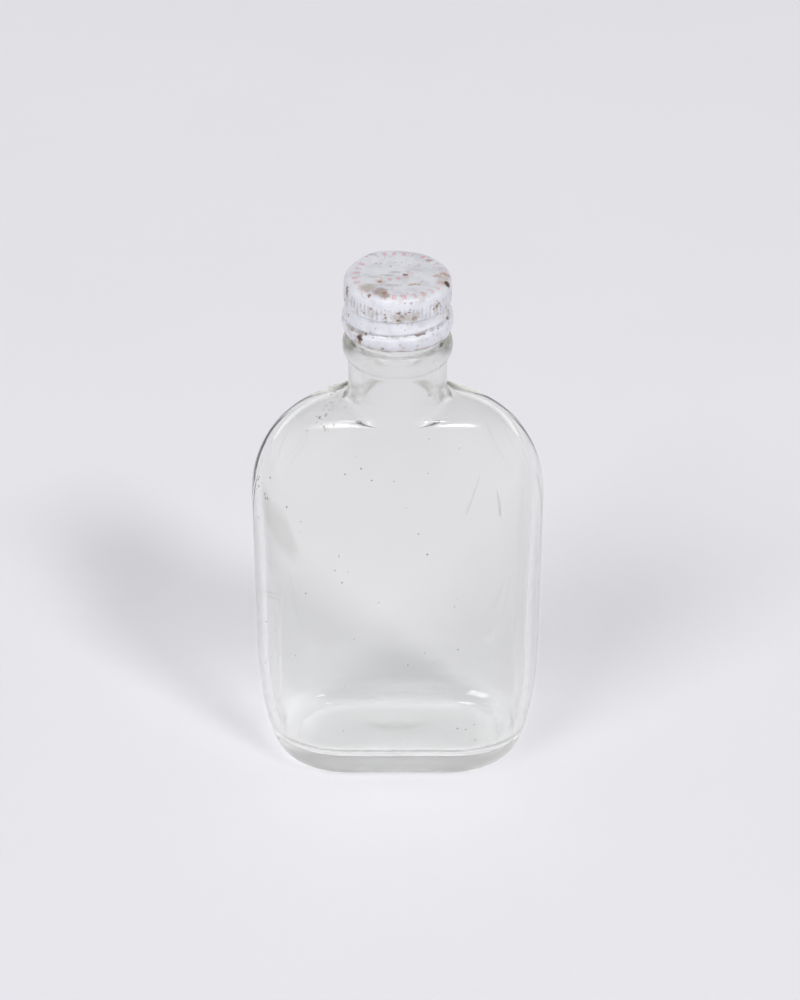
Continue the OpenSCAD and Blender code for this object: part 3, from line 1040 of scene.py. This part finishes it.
@dataclass
class TinCap:
    """The tinplate screw cap: knurled band, waist, swollen skirt, rolled thread and hem."""

    low_z: float
    top_z: float
    points_per_knurl: int = 6
    knurls: int = 72
    tin_t: float = 0.25 * MM
    cap_r: float = 14 * MM
    waist_r: float = 13.63 * MM
    swell_r: float = 14.6 * MM
    edge_in: float = 0.5 * MM
    swell_h: float = 3 * MM
    corner_r: float = 2.2 * MM
    knurl_h: float = 4.6 * MM
    knurl_depth: float = 0.3 * MM
    knurl_out: float = 0.1 * MM
    smooth_top: float = 1.2 * MM
    groove_start: float = math.radians(64)
    groove_z: float = 141.3 * MM
    groove_depth: float = 0.72 * MM
    groove_half_w: float = 0.95 * MM
    groove_turns: float = 1.1
    ridge_tip_r: float = 12.55 * MM
    pitch: float = 4.2 * MM
    hem_r: float = 0.2 * MM

    def build(self, finish: Lacquer) -> bpy.types.Object:
        """Builds the cap and dresses it.

        Args:
            finish: the lacquer to dress it in.

        Returns:
            The piece.
        """
        skin = RingSkin(self.knurls * self.points_per_knurl, marks=("wear_and_shade", "hem"))
        wear_and_shade, hem = skin.marks
        # Each outer point gets a mark that is high where the tin is scuffed and also where painted shade
        # darkens the knurl valleys and the rolled groove.
        for radius, z in self._outside():
            for vert in skin.add(lambda i, r=radius, z=z: self._outer_point(i, r, z)):
                vert[wear_and_shade] = self._wear_and_shade(vert.co, z)
                vert[hem] = bump(z - self.low_z, 1.1 * MM)
        for radius, z in self._inside():
            for vert in skin.add(lambda i, r=radius, z=z: self._inner_point(i, r, z)):
                vert[wear_and_shade] = 0.25
                vert[hem] = bump(z - self.low_z, 0.8 * MM)
        piece = skin.finish("cap_tin", "cap", "cap_enamel", "cap_shell")
        piece.data.materials.append(finish.material())
        return piece

    @property
    def knurl_top_z(self) -> float:
        """Height at which the top corner begins."""
        return self.top_z - self.corner_r

    @property
    def knurl_z(self) -> float:
        """Height of the knurled band's lower edge."""
        return self.knurl_top_z - self.knurl_h

    def _skirt_r(self, z: float) -> float:
        """Outside radius of the skirt at a height."""
        swell_z = self.low_z + self.swell_h
        if z >= self.knurl_z:
            return self.cap_r
        if z >= swell_z:
            share = 1.2 * (z - swell_z) / (self.knurl_z - swell_z)
            return mix(self.swell_r, self.waist_r, smooth(share))
        drop = (swell_z - z) / self.swell_h
        return mix(self.swell_r, self.swell_r - self.edge_in, drop * drop)

    def _outside(self) -> list[tuple[float, float]]:
        """Radius and height from the middle of the top down to the hem."""
        flat_r = self.cap_r - self.corner_r
        rings = [(flat_r * s, self.top_z) for s in (0.06, 0.2, 0.35, 0.5, 0.65, 0.8, 0.92, 1.0)]
        for share in unit_steps(12):
            turn = math.pi / 2 * (1.0 - share)
            rings.append((
                flat_r + self.corner_r * math.cos(turn), self.knurl_top_z + self.corner_r * math.sin(turn)
            ))
        for share in unit_steps(18):
            z = mix(self.knurl_top_z, self.knurl_z, share)
            rings.append((self._skirt_r(z), z))
        for share in unit_steps(40):
            z = mix(self.knurl_z, self.low_z + self.hem_r, share)
            rings.append((self._skirt_r(z), z))
        middle = self._skirt_r(self.low_z) - self.hem_r
        for k in range(1, 7):
            turn = -math.pi * k / 6
            rings.append((
                middle + self.hem_r * math.cos(turn), self.low_z + self.hem_r * (1 + math.sin(turn))
            ))
        return rings

    def _inside(self) -> list[tuple[float, float]]:
        """Radius and height from the hem up to the middle of the top, inside."""
        rings = []
        for share in unit_steps(34):
            z = mix(self.low_z + 0.6 * MM, self.knurl_top_z, share)
            rings.append((self._skirt_r(z) - self.tin_t, z))
        corner = self.corner_r - self.tin_t
        flat_r = self.cap_r - self.corner_r
        for share in unit_steps(8):
            turn = math.pi / 2 * share
            rings.append((flat_r + corner * math.cos(turn), self.knurl_top_z + corner * math.sin(turn)))
        rings += [(flat_r * s, self.top_z - self.tin_t) for s in (0.85, 0.65, 0.45, 0.25, 0.08)]
        return rings

    def _outer_point(self, i: int, radius: float, z: float) -> Vector:
        """A point of the outside, with its knurls, its rolled groove and its knocks."""
        turn = math.tau * i / (self.knurls * self.points_per_knurl)
        band = smooth((z - self.knurl_z) / (0.5 * MM)) * smooth(
            (self.knurl_top_z - self.smooth_top - z) / (0.5 * MM) + 1.0
        )
        if band > 0.0 and z < self.knurl_top_z:
            which = i // self.points_per_knurl
            depth = self.knurl_depth * (0.65 + 0.6 * noise.noise(Vector((which * 0.83, z * 210, 4.0))))
            wave = 0.5 - 0.5 * math.cos(math.tau * (i % self.points_per_knurl) / self.points_per_knurl)
            radius += band * (self.knurl_out - depth * wave ** 1.5)
        radius -= self.groove_depth * self._groove(turn, z)
        return self._knocked(polar(radius, turn, z))

    def _inner_point(self, i: int, radius: float, z: float) -> Vector:
        """A point of the inside, where the rolled groove is the cap's thread."""
        turn = math.tau * i / (self.knurls * self.points_per_knurl)
        share = self._groove(turn, z)
        return self._knocked(polar(mix(radius, self.ridge_tip_r, share), turn, z))

    def _groove(self, turn: float, z: float) -> float:
        """How deep the rolled thread is in a direction and at a height, from 0 to 1."""
        first = (turn - self.groove_start) % math.tau / math.tau
        depth = 0.0
        for whole in range(math.ceil(self.groove_turns)):
            at = first + whole
            ends = smooth(min(at, self.groove_turns - at) / 0.1)
            depth = max(depth, ends * bump(z - self.groove_z - self.pitch * at, self.groove_half_w))
        return depth

    def _knocked(self, point: Vector) -> Vector:
        """Moves a point of the cap as years of knocks have: small dents, and a wavy hem."""
        x, y, z = point
        top = smooth((z - self.knurl_top_z) / self.corner_r)
        dents = (
            0.06 * bump(math.hypot(x - 9 * MM, y - 9 * MM), 9 * MM)
            + 0.22 * bump(math.hypot(x + 1 * MM, y + 4 * MM), 7 * MM)
            + 0.16 * bump(math.hypot(x - 10 * MM, y + 6 * MM), 5 * MM)
            + 0.12 * abs(noise.noise(Vector((x * 190, y * 190, 2.0))))
        )
        turn = math.atan2(y, x)
        dent = 0.17 * MM * noise.noise(Vector((2.4 * math.cos(turn), 2.4 * math.sin(turn), z * 260)))
        near_hem = bump(z - self.low_z, 2.2 * MM)
        hem = 0.16 * MM * noise.noise(Vector((4.5 * math.cos(turn), 4.5 * math.sin(turn), 7.0)))
        out = Vector((math.cos(turn), math.sin(turn), 0.0))
        moved = point + out * (dent * (1.0 - top) - abs(hem) * near_hem)
        swollen = 0.7 * bump(math.hypot(x + 5 * MM, y - 10.5 * MM), 9.5 * MM)
        swollen += 0.35 * bump(math.hypot(x - 6 * MM, y - 11 * MM), 8 * MM)
        moved.z += abs(hem) * near_hem * 1.5 + (swollen - dents) * MM * top
        return moved

    def _wear_and_shade(self, place: Vector, z: float) -> float:
        """How far a point is darkened, from 0 to 1: scuffed at the top corner, the knurled band and the
        hem, with painted shade added in the knurl valleys and the rolled groove.
        """
        radius = math.hypot(place.x, place.y)
        corner = bump(z - self.knurl_top_z - 0.6 * self.corner_r, 1.3 * MM)
        band = smooth((z - self.knurl_z + 0.3 * MM) / (0.4 * MM)) * smooth(
            (self.knurl_top_z - 0.6 * MM - z) / (0.5 * MM)
        )
        # Painted shade: the knurl valleys and the rolled groove below are darkened as if in shade.
        valley = band * smooth((self.cap_r + 0.02 * MM - radius) / (0.25 * MM))
        crease = smooth((self._skirt_r(z) - radius) / (0.6 * MM)) * (z < self.knurl_z)
        hem = bump(z - self.low_z, 0.7 * MM)
        return min(1.0, max(0.35 * corner, 0.45 * band + 0.5 * valley, 0.7 * crease, 0.8 * hem))


# ---- the liner -----------------------------------------------------------------------------


@dataclass
class CorkWad:
    """The pressed cork disc in the top of the cap, squeezed a little by the dented tin."""

    low_z: float
    high_z: float
    squeeze: float = 0.5 * MM
    corner_r: float = 1.85 * MM
    corner_x: float = 11.8 * MM
    corner_z: float = 152.56 * MM
    crumble: float = 0.12 * MM

    def build(self, finish: Cork) -> bpy.types.Object:
        """Builds the wad and dresses it."""
        skin = RingSkin(128)
        for radius, z in self._outline():
            skin.add(lambda i, r=radius, z=z: self._point(i, r, z))
        piece = skin.finish("cork_wad", "liner", "cork", "liner_wad")
        piece.data.materials.append(finish.material())
        return piece

    def _outline(self) -> list[tuple[float, float]]:
        """Radius and height from the middle below to the middle above."""
        top_z = self.high_z - self.squeeze
        edge = [mix(self.low_z, top_z, share) for share in (0.0, 0.2, 0.4, 0.6, 0.8, 0.95)]
        low_r = self._edge_r(self.low_z)
        rings = [(low_r * share, self.low_z) for share in (0.1, 0.35, 0.6, 0.8, 0.93)]
        rings += [(self._edge_r(z), z) for z in edge]
        top_r = self._edge_r(top_z) - 0.3 * MM
        return rings + [(top_r * share, top_z) for share in (1.0, 0.85, 0.65, 0.4, 0.15)]

    def _edge_r(self, z: float) -> float:
        """Radius of the wad's edge, which is rounded to sit in the cap's corner."""
        rise = (z - self.corner_z) / self.corner_r
        return self.corner_x + self.corner_r * math.sqrt(max(0.0, 1.0 - rise * rise))

    def _point(self, i: int, radius: float, z: float) -> Vector:
        """A point of the wad, with a crumbled edge and an uneven top."""
        place = polar(radius, math.tau * i / 128, z)
        grain = noise.noise(place * 900)
        if radius > 0.9 * self._edge_r(z):
            place -= place.xy.normalized().to_3d() * self.crumble * abs(grain)
        if z > self.low_z + self.squeeze:
            place.z -= 0.5 * self.crumble * abs(grain)
        return place


@dataclass
class FacingDisc:
    """The waxed paper disc under the cork, dented by the mouth of the bottle."""

    radius: float
    low_z: float
    high_z: float
    ring_r: float = 10.85 * MM
    ring_half_w: float = 0.9 * MM
    press: float = 0.05 * MM
    points_round: int = 160

    def build(self, finish: WaxedPaper) -> bpy.types.Object:
        """Builds the disc and dresses it."""
        skin = RingSkin(self.points_round)
        shares = (0.08, 0.3, 0.5, 0.65, 0.76, 0.82, 0.86, 0.89, 0.92, 0.95, 0.98, 1.0)
        for share in shares:
            skin.add(lambda i, s=share: self._point(i, s, self.low_z))
        for share in reversed(shares[:-1]):
            skin.add(lambda i, s=share: self._point(i, s, self.high_z))
        piece = skin.finish("facing_disc", "liner", "facing_paper", "liner_facing")
        piece.data.materials.append(finish.material())
        return piece

    def _point(self, i: int, share: float, z: float) -> Vector:
        """A point of the disc, with a slightly ragged edge and a pressed ring below."""
        turn = math.tau * i / self.points_round
        ragged = abs(noise.noise(Vector((9 * math.cos(turn), 9 * math.sin(turn), 1.0))))
        radius = share * (self.radius - 0.12 * MM * ragged)
        if z == self.low_z:
            z += self.press * bump(radius - self.ring_r, self.ring_half_w)
        elif share > 0.9:
            z -= 0.03 * MM
        return polar(radius, turn, z)


# ---- the studio ----------------------------------------------------------------------------


@dataclass(frozen=True)
class SoftBox:
    """A square soft light that points at the bottle."""

    name: str
    azimuth: float
    elevation: float
    distance: float
    size: float
    power: float
    colour: Colour = (1.0, 0.99, 0.985)

    def build(self, target: Vector) -> None:
        """Hangs the light."""
        lamp = bpy.data.lights.new(self.name, "AREA")
        lamp.shape = "SQUARE"
        lamp.size = self.size
        lamp.energy = self.power
        lamp.color = self.colour
        high, round_z = math.radians(self.elevation), math.radians(self.azimuth)
        away = Vector((
            math.sin(round_z) * math.cos(high), -math.cos(round_z) * math.cos(high), math.sin(high)
        ))
        holder = bpy.data.objects.new(self.name, lamp)
        holder.location = target + away * self.distance
        holder.rotation_euler = away.to_track_quat("Z", "Y").to_euler()
        bpy.context.scene.collection.objects.link(holder)


@dataclass
class Studio:
    """The pale floor, the soft light and the camera."""

    floor_half: float = 4.0
    floor_gap: float = 0.06 * MM
    walls: Colour = (1.02, 1.02, 1.035)
    ceiling: Colour = (0.33, 0.33, 0.34)
    lights: tuple[SoftBox, ...] = (
        SoftBox("left_softbox", -42, 46, 8.0, 3.1, 265.0),
        SoftBox("right_softbox", 42, 46, 8.0, 1.5, 265.0),
    )
    camera_distance: float = 0.65
    camera_elevation: float = 33.25
    camera_aim: tuple[float, float, float] = (0.64 * MM, 0.0, 84.92 * MM)
    lens: float = 85.3
    bounces: int = 24

    def build(self, paper: StudioPaper) -> None:
        """Sets up everything that isn't the bottle."""
        self._lay_floor(paper)
        for light in self.lights:
            light.build(Vector(self.camera_aim))
        self._fill_air()
        self._place_camera()
        scene = bpy.context.scene
        scene.view_settings.view_transform = "Standard"
        # Light that is turned back inside thick glass runs out of bounces early and leaves it black.
        scene.cycles.max_bounces = self.bounces
        scene.cycles.transmission_bounces = self.bounces
        scene.cycles.glossy_bounces = self.bounces
        scene.cycles.transparent_max_bounces = self.bounces

    def _lay_floor(self, paper: StudioPaper) -> None:
        """Lays the floor that the bottle stands on."""
        bm = bmesh.new()
        bmesh.ops.create_grid(bm, x_segments=8, y_segments=8, size=self.floor_half)
        bmesh.ops.translate(bm, verts=bm.verts, vec=(0.0, 0.0, -self.floor_gap))
        mesh = bpy.data.meshes.new("studio_floor")
        bm.to_mesh(mesh)
        bm.free()
        floor = bpy.data.objects.new("studio_floor", mesh)
        bpy.context.scene.collection.objects.link(floor)
        mesh.materials.append(paper.material())

    def _fill_air(self) -> None:
        """Fills the room with light from pale walls and a dimmer ceiling."""
        world = bpy.data.worlds.new("soft_room")
        world.use_nodes = True
        nodes = Tree(world.node_tree)
        split = nodes.node("SeparateXYZ")
        nodes.feed(split.inputs[0], nodes.node("TexCoord").outputs["Generated"])
        colour = nodes.blend(nodes.span(split.outputs["Z"], 0.05, 0.6), self.walls, self.ceiling)
        nodes.feed(world.node_tree.nodes["Background"].inputs["Color"], colour)
        bpy.context.scene.world = world

    def _place_camera(self) -> None:
        """Puts the camera in front of the bottle, looking down at it."""
        high = math.radians(self.camera_elevation)
        away = Vector((0.0, -math.cos(high), math.sin(high)))
        camera = bpy.data.cameras.new("camera")
        camera.lens = self.lens
        holder = bpy.data.objects.new("camera", camera)
        holder.location = Vector(self.camera_aim) + away * self.camera_distance
        holder.rotation_euler = away.to_track_quat("Z", "Y").to_euler()
        bpy.context.scene.collection.objects.link(holder)
        bpy.context.scene.camera = holder


def main() -> None:
    """Builds every piece in order."""
    logging.basicConfig(level=logging.INFO, format="%(name)s: %(message)s")
    Studio().build(StudioPaper())
    low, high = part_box("glass_bottle")
    GlassBottle(half_w=high[0], half_d=high[1], mouth_z=high[2]).build(Glass())
    low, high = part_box("cap_shell")
    TinCap(low_z=low[2], top_z=high[2]).build(Lacquer())
    low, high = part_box("liner_wad")
    CorkWad(low_z=low[2], high_z=high[2]).build(Cork())
    low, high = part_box("liner_facing")
    FacingDisc(radius=high[0], low_z=low[2], high_z=high[2]).build(WaxedPaper())


if __name__ == "__main__":
    main()
